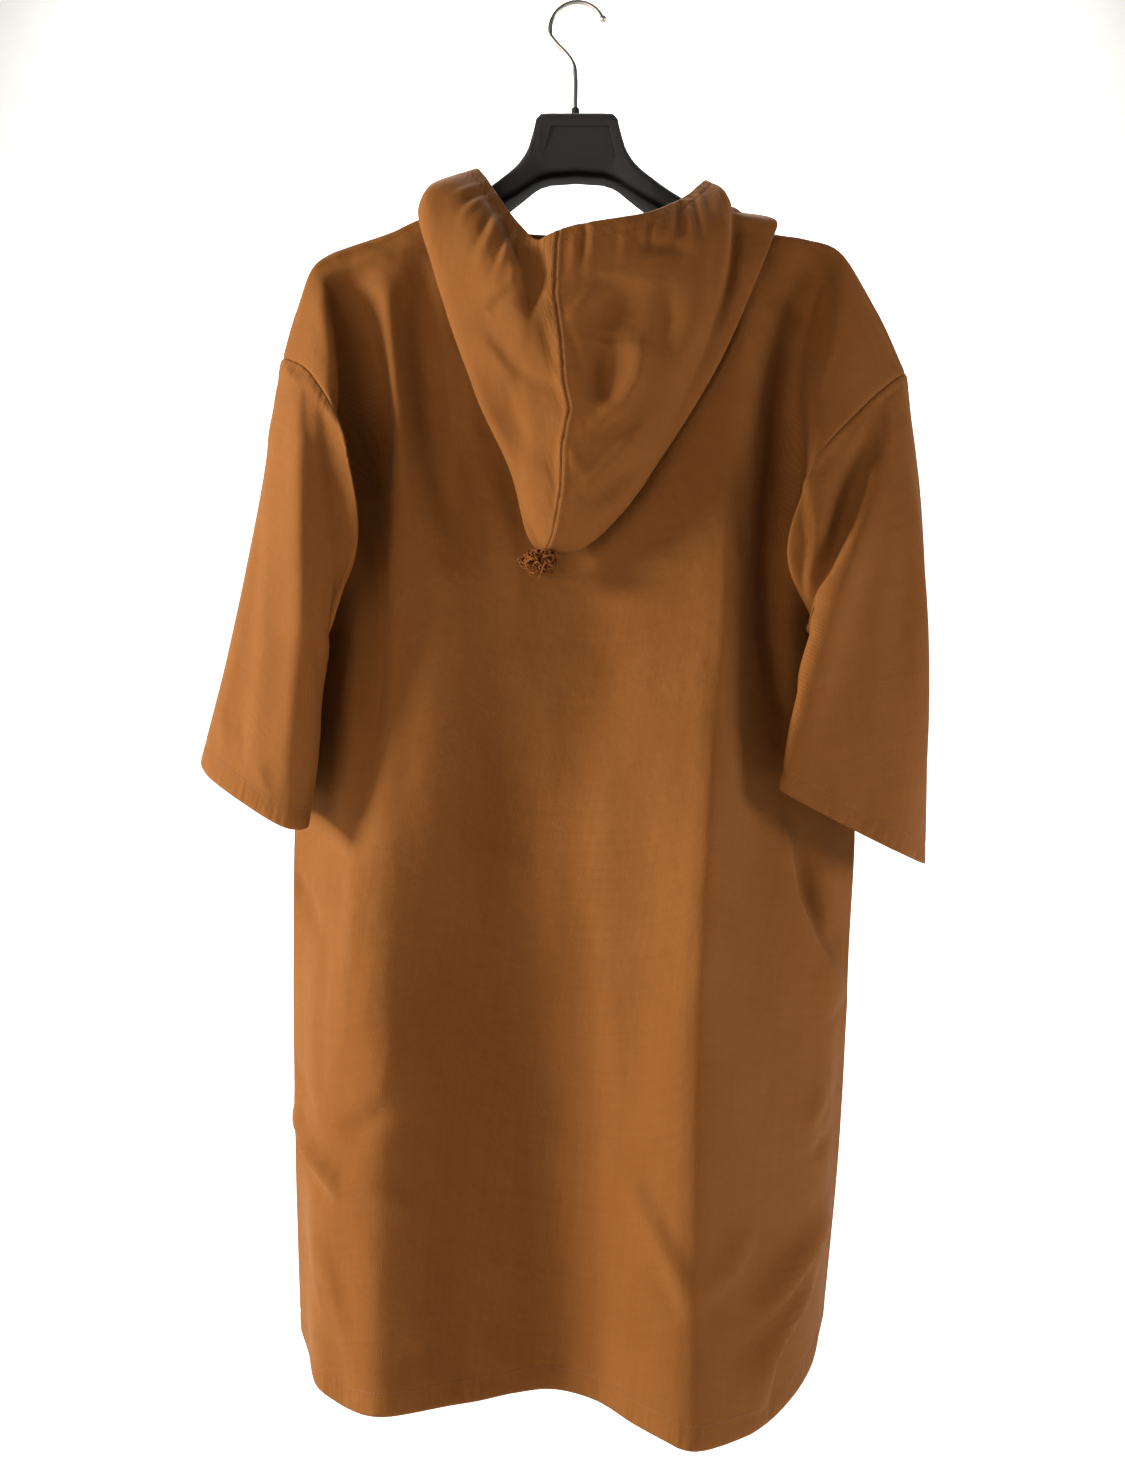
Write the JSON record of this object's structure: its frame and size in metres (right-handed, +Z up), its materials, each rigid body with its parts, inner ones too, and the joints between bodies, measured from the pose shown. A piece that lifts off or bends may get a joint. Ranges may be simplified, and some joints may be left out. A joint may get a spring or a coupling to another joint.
{
  "type": "hooded robe on a coat hanger",
  "caption": "Knee-length cotton robe with set-in sleeves and a pointed hood that lies down its back, hanging on a moulded coat hanger with a wire hook.",
  "frame": {"origin": "inside top of the hanger's hook, where a rod carries it", "axes": "+Z up, -Y out of the robe's front and +Y out of its back, where the hood lies, +X to the wearer's left"},
  "size_m": [0.6125, 0.2787, 1.13],
  "materials": {
    "robe_cloth": "matte plain-weave cotton",
    "pompom_yarn": "fuzzy twisted cotton yarn",
    "hanger_plastic": "finely textured moulded plastic",
    "hook_steel": "plated wire"
  },
  "bodies": {
    "root": {"back": "robe_cloth", "front": "robe_cloth", "sleeve_left": "robe_cloth", "sleeve_right": "robe_cloth", "hood_left": "robe_cloth", "hood_right": "robe_cloth", "hood_pompom": "pompom_yarn", "hanger": "hanger_plastic", "hanger_collar": "hanger_plastic", "hanger_hook": "hook_steel"}
  },
  "joints": []
}
